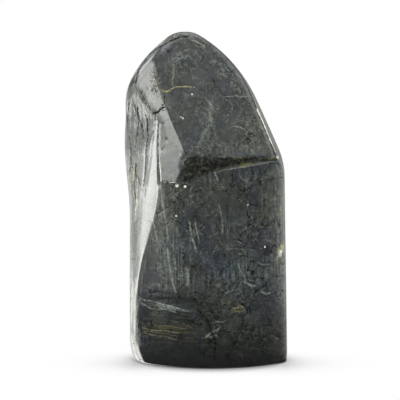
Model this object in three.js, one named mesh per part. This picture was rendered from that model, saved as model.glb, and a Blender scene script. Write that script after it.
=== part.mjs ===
// A polished labradorite: one free-standing piece of stone on a flat sawn base.
// Millimetres, +Z up, the broad front face towards -Y, the origin at the middle of the base.
// The lower front is a wide barrel. The upper front is a flat facet that leans back, and between
// the two runs an unpolished ledge. The left front corner is cut by a bright facet, a narrow strip
// that twists down to the foot, and a scooped flank.

import * as THREE from 'three';
import { mergeVertices } from 'three/addons/utils/BufferGeometryUtils.js';

// the middle of the stone's plan, which is moved to the origin
const MIDDLE_X = 0.7;
const MIDDLE_Y = -0.2;

// lower front face, a broad upright barrel
const FRONT_Y = -24.4;
const FRONT_MIDDLE_X = 2.6;
const FRONT_RADIUS = 54;
const FRONT_LEAN = 0.012;
const FRONT_BOW = 0.00016;
const FRONT_BOW_Z = 40;

// corners where facets meet
const SHOULDER = [-9.1, -24.5, 98.8];
const LIP_LEFT = [-6.6, -25.0, 96.3];
const LIP_RIGHT = [32.9, -14.8, 94.2];
const CHAMFER_FOOT = [-11.2, -23.7, 91.6];
const LEDGE_LEFT = [-11.5, -23.7, 86.8];
const CREST_FRONT = [-7.2, 0.0, 147.8];
const KITE_FOOT = [-22.9, -15.4, 113.3];
const KITE_LEFT = [-31.2, -4.5, 126.2];
const KITE_HEAD = [-21.8, -8.0, 139.8];

// ledge between the upper facet and the lower face: the height of its crease across the front
const CREASE_Z = 87.6;
const CREASE_SLOPE = 0.27;
const CREASE_SAG = 0.0035;
const LEDGE_FROM_X = -11;
const LEDGE_TO_X = 33;
const SHELF_SLOPE = 0.3;
const OVERHANG_Z = 83.8;

// how far out the strip and the flank stand, measured along their own directions
const STRIP_REACH = 26.3;
const STRIP_FOOT_REACH = 4.6;
const FLANK_REACH = 27.05;
const FLANK_FOOT_REACH = 5.6;
const FLANK_TIP_CUT = 0.6;

// the strip is bowed a little across its width, about a middle that moves left towards the foot
const STRIP_RADIUS = 60;
const STRIP_HALF_WIDTH = 5;
const STRIP_TOP_MIDDLE = -3.6;
const STRIP_MIDDLE_SLOPE = 0.14;

// left side
const SIDE_X = -34.4;
const SIDE_SWELL = 3.6;

// edge softness: the height over which one wall blends into the next
const LIP_ROUND = 0.8;
const FACET_ROUND = 0.4;
const STRIP_ROUND = 0.15;
const BACK_ROUND = 8;
const BASE_ROUND = 0.9;

// mesh: columns run from the base up to the top, rows run round the stone
const COLUMNS = 84;
const BASE_RINGS = [0, 1];
const FOOT_HEIGHTS = [0.1, 0.4, 1.2, 4];
const BODY_ROWS = 16;
const LEDGE_ROWS = 6;
const NECK_ROWS = 5;
const FAN_ROWS = 23;
const FAN_Z = 106;
const FURTHEST = 110;

// The axis that the columns stand round: upright, then leaning towards the top of the stone.
const AXIS_X = -1;
const AXIS_LEAN = [-0.13, 0.035];

// Edges that a column of the mesh follows, each as points from the foot to the top.
const FLANK_EDGE = [[-31.4, -11.5, 0], [-30.5, -12.5, 45], [-28.7, -11.2, 68], [-26.9, -10.9, 85],
  [-25.1, -12.2, 98], [-22.8, -14.1, 105], [-21.8, -15, 111.5], [-23.6, -13.4, 114],
  [-28.7, -7.7, 120], [-31.3, -3, 128], [-29, -2.4, 134], [-22, -2, 143], [-14, -0.5, 150]];
const STRIP_EDGE = [[-29.6, -13.9, 0], [-29, -14.5, 45], [-25, -16.5, 60], [-21.3, -17.9, 75],
  [-19.3, -19.1, 85], [-20.3, -17.9, 92], [-20.3, -17, 105], [-20.6, -15.9, 111.5],
  [-23.4, -11.9, 120], [-26.9, -7, 128], [-25.2, -5.5, 134], [-20, -4, 143], [-14, -1.5, 150]];
const CHAMFER_EDGE = [[-11, -21, 0], [-11, -21.2, 84], [-11.2, -23.5, 90], [-8.2, -24.4, 94],
  [-7.2, -24.7, 97], [-9.7, -23.9, 100], [-12.3, -21.8, 106], [-15, -19.6, 112],
  [-18.5, -15.2, 120], [-20.6, -11.6, 128], [-21.6, -9, 135], [-21.3, -7.4, 140], [-18, -4.6, 144],
  [-14.5, -2.4, 148]];
const RIGHT_EDGE = [[36.1, -13.5, 0], [34.6, -13.6, 80], [33.2, -13.8, 90], [31.5, -14.5, 94],
  [28.9, -12.7, 100], [23.9, -8.3, 112], [20.5, -5.4, 120], [16.5, -2.5, 128], [12.3, -0.6, 134],
  [8.1, 0.4, 140], [3, 1, 144.5], [-4, 1.5, 149]];
const LEFT_SIDE = [[-35, 0, 0], [-36, 0, 106], [-14, 0.1, 150]];
const GUIDES = [LEFT_SIDE, FLANK_EDGE, STRIP_EDGE, CHAMFER_EDGE, RIGHT_EDGE, LEFT_SIDE];
const GUIDE_COLUMNS = [0, 7, 12, 22, 47, COLUMNS];

// turns a value into a smooth step from 0 at low to 1 at high
function ramp(low, high, value) {
  const t = Math.min(Math.max((value - low) / (high - low), 0), 1);
  return t * t * (3 - 2 * t);
}

function smoothMax(a, b, round) {
  const h = Math.max(round - Math.abs(a - b), 0) / round;
  return Math.max(a, b) + h * h * round / 4;
}

function smoothMin(a, b, round) {
  return -smoothMax(-a, -b, round);
}

// a flat wall that faces an azimuth (0 is the front, -90 the left) and an elevation in degrees
function facing(azimuth, elevation, point) {
  const a = THREE.MathUtils.degToRad(azimuth);
  const e = THREE.MathUtils.degToRad(elevation);
  const normal = new THREE.Vector3(Math.sin(a) * Math.cos(e), -Math.cos(a) * Math.cos(e), Math.sin(e));
  return { normal, offset: normal.dot(new THREE.Vector3(...point)) };
}

// a flat wall through three corners, facing away from the middle of the stone
function through(first, second, third) {
  const corner = new THREE.Vector3(...first);
  const along = new THREE.Vector3(...second).sub(corner);
  const across = new THREE.Vector3(...third).sub(corner);
  const normal = along.cross(across).normalize();
  if (normal.dot(new THREE.Vector3(0, 0, 70).sub(corner)) > 0) normal.negate();
  return { normal, offset: normal.dot(corner) };
}

// front facets
const upperFacet = through(SHOULDER, LIP_RIGHT, CREST_FRONT);
const ledgeRoof = through(LIP_LEFT, LIP_RIGHT, LEDGE_LEFT);
const chamfer = facing(-32, 3.8, SHOULDER);
const nick = through(SHOULDER, LIP_LEFT, CHAMFER_FOOT);
const kite = through(KITE_FOOT, KITE_LEFT, KITE_HEAD);
const strip = facing(-48, 0, [0, 0, 0]);
const stripWay = new THREE.Vector3(-strip.normal.y, strip.normal.x, 0);
const flank = facing(-55, 0, [0, 0, 0]);

// right side, from the foot to the top
const rightSide = facing(86, 1.2, [36.4, -5, 60]);
const rightSlope = facing(82, 24.7, [26.5, -3, 109.8]);
const rightCrest = facing(82, 52, [4.9, -3, 142.1]);

// left side above the kite, and the tuck at the left of the foot
const leftSlope = facing(-84, 18, [-36.6, 3, 122.8]);
const leftCrest = facing(-78, 46, [-23.9, 3, 140.4]);
const leftTuck = facing(-76, -26, [-32, -7, 0]);

// top and back
const crown = facing(-10, 79, [-6.8, 0, 149.2]);
const crownBack = facing(172, 45, [-6, 11.5, 149.8]);
const backUpper = facing(172, 16, [0, 20, 112]);
const backMiddle = facing(178, 2, [0, 22, 50]);
const backLeft = facing(140, 3, [34, 14, 50]);
const backRight = facing(-130, 4, [-35, 18, 95]);

function crease(x) {
  const across = Math.min(Math.max(x, LEDGE_FROM_X), LEDGE_TO_X);
  return CREASE_Z + CREASE_SLOPE * across - CREASE_SAG * across * across;
}

function lip(x) {
  const across = Math.min(Math.max(x, LEDGE_FROM_X), LEDGE_TO_X);
  const share = (across - LIP_LEFT[0]) / (LIP_RIGHT[0] - LIP_LEFT[0]);
  return LIP_LEFT[2] + share * (LIP_RIGHT[2] - LIP_LEFT[2]);
}

// The walls without the base: negative inside the stone, positive outside, roughly in millimetres.
function walls(x, y, z) {
  const outside = (wall) => wall.normal.x * x + wall.normal.y * y + wall.normal.z * z - wall.offset;

  // lower front: the barrel, closed above by the shelf of the ledge
  const aside = x - FRONT_MIDDLE_X;
  const bow = FRONT_LEAN * z + FRONT_BOW * (z - FRONT_BOW_Z) ** 2;
  const frontY = FRONT_Y + aside * aside / (2 * FRONT_RADIUS) + bow;
  const barrel = (frontY - y) / Math.hypot(1, aside / FRONT_RADIUS);
  const shelf = (z - crease(x) - SHELF_SLOPE * (y - frontY)) / Math.hypot(1, SHELF_SLOPE);
  const lower = smoothMax(barrel, shelf, 0.6);

  // upper front: the leaning facet, undercut by the roof of the ledge
  let upper = smoothMax(outside(upperFacet), outside(ledgeRoof), LIP_ROUND);
  upper = smoothMax(upper, OVERHANG_Z - z, 0.6);
  let solid = smoothMin(lower, upper, 0.6);

  // the cuts at the left front corner
  const nickOut = outside(nick) - 3 * (1 - ramp(84, 91, z));
  solid = smoothMax(solid, nickOut, FACET_ROUND);
  solid = smoothMax(solid, outside(chamfer), FACET_ROUND);
  const stripMiddle = STRIP_TOP_MIDDLE - STRIP_MIDDLE_SLOPE * Math.max(98 - z, 0);
  const fromMiddle = stripWay.x * x + stripWay.y * y - stripMiddle;
  const across = THREE.MathUtils.clamp(fromMiddle, -STRIP_HALF_WIDTH, STRIP_HALF_WIDTH);
  const bowed = outside(strip) + across * across / (2 * STRIP_RADIUS);
  const stripFoot = 1 - ramp(88, 112, z) + STRIP_FOOT_REACH * (1 - ramp(32, 90, z));
  const stripOut = bowed - STRIP_REACH - stripFoot - 6 * ramp(109, 122, z);
  solid = smoothMax(solid, stripOut, STRIP_ROUND + 2.2 * (1 - ramp(22, 36, z)));
  solid = smoothMax(solid, outside(kite), FACET_ROUND + 5 * ramp(108, 122, z));
  const tipCut = FLANK_TIP_CUT * ramp(90, 108, z) * (1 - ramp(111, 119, z));
  const flankScoop = 1.1 * ramp(108, 124, z) + 1.1 * (1 - ramp(92, 112, z)) - tipCut;
  const flankFoot = FLANK_FOOT_REACH * (1 - ramp(20, 95, z));
  solid = smoothMax(solid, outside(flank) - FLANK_REACH - flankScoop - flankFoot, 0.3);

  // sides, back and top
  const side = SIDE_X - SIDE_SWELL * ramp(64, 108, z) - x;
  let left = smoothMax(side, outside(leftSlope), 5);
  left = smoothMax(left, outside(leftCrest), 8);
  left = smoothMax(left, outside(leftTuck), 3);
  let right = smoothMax(outside(rightSlope), outside(rightCrest), 8);
  right = smoothMax(right, outside(rightSide), 2.5);
  let back = smoothMax(outside(backMiddle), outside(backLeft), 14);
  back = smoothMax(back, outside(backRight), 14);
  back = smoothMax(back, outside(backUpper), 12);
  back = smoothMax(back, outside(crownBack), 10);
  solid = smoothMax(solid, outside(crown), 2);
  solid = smoothMax(solid, left, 3);
  solid = smoothMax(solid, right, 2);
  return smoothMax(solid, back, BACK_ROUND);
}

function stone(x, y, z) {
  return smoothMax(walls(x, y, z), -z, BASE_ROUND);
}

// Distance from the axis at height z to the skin, along a turn and a rise in radians. A rising
// ray leans with the axis.
function reach(field, z, turn, rise, level = 0) {
  const dx = Math.cos(turn) * Math.cos(rise) + AXIS_LEAN[0] * Math.sin(rise);
  const dy = Math.sin(turn) * Math.cos(rise) + AXIS_LEAN[1] * Math.sin(rise);
  const dz = Math.sin(rise);
  const at = (t) => field(AXIS_X + dx * t, dy * t, z + dz * t) - level;
  let near = 0;
  let far = 2;
  while (at(far) <= 0 && far < FURTHEST) {
    near = far;
    far += 2;
  }
  for (let i = 0; i < 20; i++) {
    const middle = (near + far) / 2;
    if (at(middle) > 0) far = middle;
    else near = middle;
  }
  return near;
}

// plan angle of an edge at height z, seen from the axis, growing from the left by way of the front
function edgeTurn(edge, z) {
  let i = 1;
  while (i < edge.length - 1 && z > edge[i][2]) i++;
  const share = THREE.MathUtils.clamp((z - edge[i - 1][2]) / (edge[i][2] - edge[i - 1][2]), 0, 1);
  const above = Math.max(z - FAN_Z, 0);
  const x = THREE.MathUtils.lerp(edge[i - 1][0], edge[i][0], share) - AXIS_X - AXIS_LEAN[0] * above;
  const y = THREE.MathUtils.lerp(edge[i - 1][1], edge[i][1], share) - AXIS_LEAN[1] * above;
  const turn = Math.atan2(y, x);
  return turn < -Math.PI / 2 ? turn + 2 * Math.PI : turn;
}

// plan angle of a column at height z
function columnTurn(column, z) {
  let i = 0;
  while (column >= GUIDE_COLUMNS[i + 1]) i++;
  const share = (column - GUIDE_COLUMNS[i]) / (GUIDE_COLUMNS[i + 1] - GUIDE_COLUMNS[i]);
  const from = edgeTurn(GUIDES[i], z) + (i > 3 ? 2 * Math.PI : 0);
  const to = edgeTurn(GUIDES[i + 1], z) + (i > 2 ? 2 * Math.PI : 0);
  return from + share * (to - from);
}

// height at which a column meets the crease or the lip
function meeting(line, column) {
  let z = line(0);
  for (let i = 0; i < 3; i++) {
    const turn = columnTurn(column, z);
    z = line(AXIS_X + reach(stone, z, turn, 0) * Math.cos(turn));
  }
  return z;
}

// Heights of a column's level rows from the base edge up to the fan at the top.
function levels(column) {
  const stops = [FOOT_HEIGHTS[3], meeting(crease, column), meeting(lip, column), FAN_Z];
  const heights = [...FOOT_HEIGHTS];
  [BODY_ROWS, LEDGE_ROWS, NECK_ROWS].forEach((rows, run) => {
    for (let i = 1; i <= rows; i++) {
      heights.push(stops[run] + (stops[run + 1] - stops[run]) * i / rows);
    }
  });
  return heights;
}

// Points of a column from the middle of the base to the top.
function columnPoints(column) {
  const points = [];
  const add = (z, turn, rise, out) => {
    const x = AXIS_X + out * (Math.cos(turn) * Math.cos(rise) + AXIS_LEAN[0] * Math.sin(rise));
    const y = out * (Math.sin(turn) * Math.cos(rise) + AXIS_LEAN[1] * Math.sin(rise));
    points.push([x - MIDDLE_X, y - MIDDLE_Y, z + out * Math.sin(rise)]);
  };
  const footTurn = columnTurn(column, 0);
  const edge = reach(walls, 0, footTurn, 0, -BASE_ROUND);
  for (const share of BASE_RINGS) add(0, footTurn, 0, edge * share);
  for (const z of levels(column)) {
    const turn = columnTurn(column, z);
    add(z, turn, 0, reach(stone, z, turn, 0));
  }
  for (let i = 1; i <= FAN_ROWS; i++) {
    const rise = Math.PI / 2 * i / FAN_ROWS;
    let turn = columnTurn(column, FAN_Z + 30 * Math.sin(rise));
    let out = 0;
    for (let pass = 0; pass < 3; pass++) {
      out = reach(stone, FAN_Z, turn, rise);
      turn = columnTurn(column, FAN_Z + out * Math.sin(rise));
    }
    add(FAN_Z, turn, rise, reach(stone, FAN_Z, turn, rise));
  }
  return points;
}

// A closed sphere gives the grid, and each of its points is placed on the stone's skin.
const columns = [];
for (let i = 0; i < COLUMNS; i++) columns.push(columnPoints(i));
const rows = columns[0].length - 1;
let geometry = new THREE.SphereGeometry(1, COLUMNS, rows);
const positions = geometry.getAttribute('position');
for (let i = 0; i < positions.count; i++) {
  const row = rows - Math.floor(i / (COLUMNS + 1));
  const column = row === 0 || row === rows ? 0 : i % (COLUMNS + 1) % COLUMNS;
  positions.setXYZ(i, ...columns[column][row]);
}
geometry.deleteAttribute('normal');
geometry.deleteAttribute('uv');
geometry = mergeVertices(geometry, 1e-4);
geometry.computeVertexNormals();

const stoneMaterial = new THREE.MeshStandardMaterial({
  name: 'polished_labradorite',
  color: 0x3b3f3e,
  roughness: 0.12,
  metalness: 0,
});

const labradorite = new THREE.Mesh(geometry, stoneMaterial);
labradorite.name = 'labradorite';

const group = new THREE.Group();
group.add(labradorite);

export default group;
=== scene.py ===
"""A polished labradorite: one tall faceted stone that stands on its flat sawn base.
The skin is cut from the same walls as the solid, in millimetres with the front face towards -Y,
and carries the stone's markings as values on its points. The polish reflects painted panels."""
import math

import bpy
import numpy as np
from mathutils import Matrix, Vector


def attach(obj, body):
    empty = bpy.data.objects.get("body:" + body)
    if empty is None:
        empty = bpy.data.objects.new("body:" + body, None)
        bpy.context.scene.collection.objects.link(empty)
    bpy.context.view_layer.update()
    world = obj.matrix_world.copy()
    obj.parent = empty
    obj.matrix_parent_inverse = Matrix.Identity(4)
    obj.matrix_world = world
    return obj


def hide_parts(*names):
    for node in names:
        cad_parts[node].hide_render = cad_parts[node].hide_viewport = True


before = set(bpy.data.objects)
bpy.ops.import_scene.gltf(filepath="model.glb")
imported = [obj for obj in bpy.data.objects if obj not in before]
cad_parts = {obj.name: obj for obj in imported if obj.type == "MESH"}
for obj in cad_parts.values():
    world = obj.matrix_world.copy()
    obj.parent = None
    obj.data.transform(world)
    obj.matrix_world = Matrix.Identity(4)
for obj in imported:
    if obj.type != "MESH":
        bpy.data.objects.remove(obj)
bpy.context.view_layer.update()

MM = 0.001

# the stone's form: the same walls as the solid, and the middle of its plan, which is moved to the
# origin
MIDDLE = np.array([0.7, -0.2, 0.0])

# lower front face, a broad upright barrel
FRONT_Y, FRONT_MIDDLE_X, FRONT_RADIUS = -24.4, 2.6, 54.0
FRONT_LEAN, FRONT_BOW, FRONT_BOW_Z = 0.012, 0.00016, 40.0

# corners where facets meet
SHOULDER = (-9.1, -24.5, 98.8)
LIP_LEFT = (-6.6, -25.0, 96.3)
LIP_RIGHT = (32.9, -14.8, 94.2)
CHAMFER_FOOT = (-11.2, -23.7, 91.6)
LEDGE_LEFT = (-11.5, -23.7, 86.8)
CREST_FRONT = (-7.2, 0.0, 147.8)
KITE_FOOT = (-22.9, -15.4, 113.3)
KITE_LEFT = (-31.2, -4.5, 126.2)
KITE_HEAD = (-21.8, -8.0, 139.8)

# ledge between the upper facet and the lower face: the height of its crease across the front
CREASE_Z, CREASE_SLOPE, CREASE_SAG = 87.6, 0.27, 0.0035
LEDGE_FROM_X, LEDGE_TO_X = -11, 33
SHELF_SLOPE, OVERHANG_Z = 0.3, 83.8

# how far out the strip and the flank stand, measured along their own directions
STRIP_REACH, STRIP_FOOT_REACH, STRIP_HEAD_REACH = 26.3, 4.6, 6
FLANK_REACH, FLANK_FOOT_REACH, FLANK_SCOOP, FLANK_TIP_CUT = 27.05, 5.6, 1.1, 0.6
NICK_FOOT_REACH = 3

# the strip is bowed a little across its width, about a middle that moves left towards the foot
STRIP_RADIUS, STRIP_HALF_WIDTH = 60.0, 5.0
STRIP_TOP_MIDDLE, STRIP_MIDDLE_SLOPE = -3.6, 0.14

# left side
SIDE_X, SIDE_SWELL = -34.4, 3.6

# edge softness: the height over which one wall blends into the next
LIP_ROUND, LEDGE_ROUND, FACET_ROUND, KITE_HEAD_ROUND = 0.8, 0.6, 0.4, 5
STRIP_ROUND, STRIP_FOOT_ROUND, FLANK_ROUND = 0.15, 2.2, 0.3
BACK_ROUND, BASE_ROUND = 8.0, 0.9


def ramp(low, high, value):
    """a smooth step from 0 at low to 1 at high"""
    t = np.clip((value - low) / (high - low), 0, 1)
    return t * t * (3 - 2 * t)


def smooth_max(a, b, blend):
    h = np.maximum(blend - np.abs(a - b), 0) / blend
    return np.maximum(a, b) + h * h * blend / 4


def smooth_min(a, b, blend):
    return -smooth_max(-a, -b, blend)


def facing(azimuth, elevation, point):
    """a flat wall by the way it faces: azimuth 0 is the front and -90 the left"""
    a, e = math.radians(azimuth), math.radians(elevation)
    normal = np.array([math.sin(a) * math.cos(e), -math.cos(a) * math.cos(e), math.sin(e)])
    return normal, normal @ np.array(point)


def through(first, second, third):
    """a flat wall through three corners, facing away from the middle of the stone"""
    first, second, third = (np.array(p) for p in (first, second, third))
    normal = np.cross(second - first, third - first)
    normal /= np.linalg.norm(normal)
    if normal @ (np.array([0, 0, 70]) - first) > 0:
        normal = -normal
    return normal, normal @ first


UPPER_FACET = through(SHOULDER, LIP_RIGHT, CREST_FRONT)
LEDGE_ROOF = through(LIP_LEFT, LIP_RIGHT, LEDGE_LEFT)
CHAMFER = facing(-32, 3.8, SHOULDER)
NICK = through(SHOULDER, LIP_LEFT, CHAMFER_FOOT)
KITE = through(KITE_FOOT, KITE_LEFT, KITE_HEAD)
STRIP = facing(-48, 0, (0, 0, 0))
STRIP_WAY = (-STRIP[0][1], STRIP[0][0])
FLANK = facing(-55, 0, (0, 0, 0))
RIGHT_SIDE = facing(86, 1.2, (36.4, -5, 60))
RIGHT_SLOPE = facing(82, 24.7, (26.5, -3, 109.8))
RIGHT_CREST = facing(82, 52, (4.9, -3, 142.1))
LEFT_SLOPE = facing(-84, 18, (-36.6, 3, 122.8))
LEFT_CREST = facing(-78, 46, (-23.9, 3, 140.4))
LEFT_TUCK = facing(-76, -26, (-32, -7, 0))
CROWN = facing(-10, 79, (-6.8, 0, 149.2))
CROWN_BACK = facing(172, 45, (-6, 11.5, 149.8))
BACK_UPPER = facing(172, 16, (0, 20, 112))
BACK_MIDDLE = facing(178, 2, (0, 22, 50))
BACK_LEFT = facing(140, 3, (34, 14, 50))
BACK_RIGHT = facing(-130, 4, (-35, 18, 95))


def crease(x):
    """height of the ledge's lower edge across the front"""
    across = np.clip(x, LEDGE_FROM_X, LEDGE_TO_X)
    return CREASE_Z + CREASE_SLOPE * across - CREASE_SAG * across ** 2


def lip(x):
    """height of the upper facet's lower edge across the front"""
    share = (np.clip(x, LEDGE_FROM_X, LEDGE_TO_X) - LIP_LEFT[0]) / (LIP_RIGHT[0] - LIP_LEFT[0])
    return LIP_LEFT[2] + share * (LIP_RIGHT[2] - LIP_LEFT[2])


def past(wall, x, y, z):
    """how far a place is outside a flat wall"""
    return wall[0][0] * x + wall[0][1] * y + wall[0][2] * z - wall[1]


def front_wall(x, y, z):
    """the barrel with its ledge below, and above it the leaning facet, undercut by the ledge"""
    aside = x - FRONT_MIDDLE_X
    bow = FRONT_LEAN * z + FRONT_BOW * (z - FRONT_BOW_Z) ** 2
    front_y = FRONT_Y + aside ** 2 / (2 * FRONT_RADIUS) + bow
    barrel = (front_y - y) / np.hypot(1, aside / FRONT_RADIUS)
    shelf = (z - crease(x) - SHELF_SLOPE * (y - front_y)) / math.hypot(1, SHELF_SLOPE)
    lower = smooth_max(barrel, shelf, LEDGE_ROUND)
    upper = smooth_max(past(UPPER_FACET, x, y, z), past(LEDGE_ROOF, x, y, z), LIP_ROUND)
    upper = smooth_max(upper, OVERHANG_Z - z, LEDGE_ROUND)
    return smooth_min(lower, upper, LEDGE_ROUND)


def strip_wall(x, y, z):
    """the narrow strip: slightly bowed, and twisting towards the front on its way down"""
    foot = 1 - ramp(88, 112, z) + STRIP_FOOT_REACH * (1 - ramp(32, 90, z))
    middle = STRIP_TOP_MIDDLE - STRIP_MIDDLE_SLOPE * np.maximum(98 - z, 0)
    across = STRIP_WAY[0] * x + STRIP_WAY[1] * y - middle
    across = np.clip(across, -STRIP_HALF_WIDTH, STRIP_HALF_WIDTH)
    bowed = past(STRIP, x, y, z) + across ** 2 / (2 * STRIP_RADIUS)
    return bowed - STRIP_REACH - foot - STRIP_HEAD_REACH * ramp(109, 122, z)


def flank_wall(x, y, z):
    """the scooped flank behind the strip"""
    scoop = FLANK_SCOOP * ramp(108, 124, z) + FLANK_SCOOP * (1 - ramp(92, 112, z))
    scoop = scoop - FLANK_TIP_CUT * ramp(90, 108, z) * (1 - ramp(111, 119, z))
    foot = FLANK_FOOT_REACH * (1 - ramp(20, 95, z))
    return past(FLANK, x, y, z) - FLANK_REACH - scoop - foot


def walls(x, y, z):
    """negative inside the walls, positive outside, roughly in millimetres"""
    def cut(solid, *cuts):
        """a solid cut by flat walls, each with the softness of its edges"""
        for wall, blend in cuts:
            solid = smooth_max(solid, past(wall, x, y, z), blend)
        return solid

    # the front, and the cuts at its left corner
    nick = past(NICK, x, y, z) - NICK_FOOT_REACH * (1 - ramp(84, 91, z))
    solid = cut(smooth_max(front_wall(x, y, z), nick, FACET_ROUND), (CHAMFER, FACET_ROUND))
    strip_round = STRIP_ROUND + STRIP_FOOT_ROUND * (1 - ramp(22, 36, z))
    solid = smooth_max(solid, strip_wall(x, y, z), strip_round)
    solid = cut(solid, (KITE, FACET_ROUND + KITE_HEAD_ROUND * ramp(108, 122, z)))
    solid = smooth_max(solid, flank_wall(x, y, z), FLANK_ROUND)

    # top, sides and back
    side = SIDE_X - SIDE_SWELL * ramp(64, 108, z) - x
    left = cut(side, (LEFT_SLOPE, 5), (LEFT_CREST, 8), (LEFT_TUCK, 3))
    right = cut(past(RIGHT_SLOPE, x, y, z), (RIGHT_CREST, 8), (RIGHT_SIDE, 2.5))
    back = cut(past(BACK_MIDDLE, x, y, z), (BACK_LEFT, 14), (BACK_RIGHT, 14), (BACK_UPPER, 12),
               (CROWN_BACK, 10))
    solid = cut(solid, (CROWN, 2))
    solid = smooth_max(solid, left, 3)
    solid = smooth_max(solid, right, 2)
    return smooth_max(solid, back, BACK_ROUND)


def stone(x, y, z):
    """the walls with the flat base"""
    return smooth_max(walls(x, y, z), -z, BASE_ROUND)


# the mesh of the skin: columns that follow the stone's edges, and rows that follow its ledge, round
# an axis that is upright and then leans towards the top; each edge has its points from foot to top
AXIS_X = -1.0
AXIS_LEAN = (-0.13, 0.035)
FAN_Z = 106.0
FURTHEST = 110.0
FLANK_EDGE = [
    (-31.4, -11.5, 0), (-30.5, -12.5, 45), (-28.7, -11.2, 68), (-26.9, -10.9, 85),
    (-25.1, -12.2, 98), (-22.8, -14.1, 105), (-21.8, -15, 111.5), (-23.6, -13.4, 114),
    (-28.7, -7.7, 120), (-31.3, -3, 128), (-29, -2.4, 134), (-22, -2, 143), (-14, -0.5, 150),
]
STRIP_EDGE = [
    (-29.6, -13.9, 0), (-29, -14.5, 45), (-25, -16.5, 60), (-21.3, -17.9, 75), (-19.3, -19.1, 85),
    (-20.3, -17.9, 92), (-20.3, -17, 105), (-20.6, -15.9, 111.5), (-23.4, -11.9, 120),
    (-26.9, -7, 128), (-25.2, -5.5, 134), (-20, -4, 143), (-14, -1.5, 150),
]
CHAMFER_EDGE = [
    (-11, -21, 0), (-11, -21.2, 84), (-11.2, -23.5, 90), (-8.2, -24.4, 94), (-7.2, -24.7, 97),
    (-9.7, -23.9, 100), (-12.3, -21.8, 106), (-15, -19.6, 112), (-18.5, -15.2, 120),
    (-20.6, -11.6, 128), (-21.6, -9, 135), (-21.3, -7.4, 140), (-18, -4.6, 144), (-14.5, -2.4, 148),
]
RIGHT_EDGE = [
    (36.1, -13.5, 0), (34.6, -13.6, 80), (33.2, -13.8, 90), (31.5, -14.5, 94), (28.9, -12.7, 100),
    (23.9, -8.3, 112), (20.5, -5.4, 120), (16.5, -2.5, 128), (12.3, -0.6, 134), (8.1, 0.4, 140),
    (3, 1, 144.5), (-4, 1.5, 149),
]
LEFT_SIDE = [(-35, 0, 0), (-36, 0, 106), (-14, 0.1, 150)]
GUIDES = [LEFT_SIDE, FLANK_EDGE, STRIP_EDGE, CHAMFER_EDGE, RIGHT_EDGE, LEFT_SIDE]
GUIDE_COLUMNS = [0, 28, 46, 76, 200, 360]
RIGHT_GUIDE = 4
COLUMNS = GUIDE_COLUMNS[-1]
BASE_ROWS, FOOT_ROWS, BODY_ROWS, LEDGE_ROWS, NECK_ROWS, FAN_ROWS = 8, 6, 132, 34, 14, 78
FOOT_Z, FOOT_CROWDING = 4.0, 2.2
FAN_HEIGHT = 30


def guide_turn(i, z):
    """plan angle of a guide at height z, seen from the axis, growing from the left by the front"""
    xs, ys, zs = (np.array(side, float) for side in zip(*GUIDES[i]))
    above = np.maximum(z - FAN_Z, 0)
    x = np.interp(z, zs, xs) - AXIS_X - AXIS_LEAN[0] * above
    y = np.interp(z, zs, ys) - AXIS_LEAN[1] * above
    turn = np.arctan2(y, x)
    turn = np.where(turn < -math.pi / 2, turn + 2 * math.pi, turn)
    return turn + 2 * math.pi if i >= RIGHT_GUIDE else turn


def column_turn(z):
    """plan angle of every column at the heights z, whose last axis is the column"""
    turn = np.empty_like(z)
    for i in range(len(GUIDES) - 1):
        first, last = GUIDE_COLUMNS[i:i + 2]
        share = np.arange(last - first) / (last - first)
        start = guide_turn(i, z[..., first:last])
        turn[..., first:last] = start + share * (guide_turn(i + 1, z[..., first:last]) - start)
    return turn


def along(turn, rise):
    """the way of a ray from the axis; a rising ray leans with it"""
    return (np.cos(turn) * np.cos(rise) + AXIS_LEAN[0] * np.sin(rise),
            np.sin(turn) * np.cos(rise) + AXIS_LEAN[1] * np.sin(rise), np.sin(rise))


def ray_point(z, turn, rise, out):
    """the point on a ray from the axis at height z"""
    dx, dy, dz = along(turn, rise)
    return np.stack([AXIS_X + dx * out, dy * out, z + dz * out], -1)


def reach(z, turn, rise, field=stone, level=0.0):
    """distance from the axis at height z to the skin"""
    dx, dy, dz = along(turn, rise)
    near, far = np.zeros_like(turn), np.full_like(turn, FURTHEST)
    for _ in range(25):
        middle = (near + far) / 2
        out = field(AXIS_X + dx * middle, dy * middle, z + dz * middle) > level
        near, far = np.where(out, near, middle), np.where(out, middle, far)
    return near


def meeting(line):
    """height at which each column meets the crease or the lip"""
    z = np.full(COLUMNS, line(0.0))
    for _ in range(4):
        turn = column_turn(z)
        z = line(AXIS_X + reach(z, turn, 0 * turn) * np.cos(turn))
    return z


def base_points():
    """rings on the flat base, from the axis out to the base edge"""
    turn = column_turn(np.zeros(COLUMNS))
    edge = reach(0.0, turn, 0 * turn, walls, -BASE_ROUND)
    shares = np.linspace(0, 1, BASE_ROWS + 1)[1:]
    return np.array([ray_point(0.0, turn, 0 * turn, edge * share) for share in shares])


def body_points():
    """level rows from the base edge up to the fan, with stops at the crease and the lip"""
    stops = [np.full(COLUMNS, FOOT_Z), meeting(crease), meeting(lip), np.full(COLUMNS, FAN_Z)]
    heights = [np.full(COLUMNS, FOOT_Z * (i / FOOT_ROWS) ** FOOT_CROWDING)
               for i in range(1, FOOT_ROWS + 1)]
    for run, rows in enumerate((BODY_ROWS, LEDGE_ROWS, NECK_ROWS)):
        for i in range(1, rows + 1):
            heights.append(stops[run] + (stops[run + 1] - stops[run]) * i / rows)
    level = np.array(heights)
    turn = column_turn(level)
    return ray_point(level, turn, 0 * turn, reach(level, turn, 0 * turn))


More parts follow.
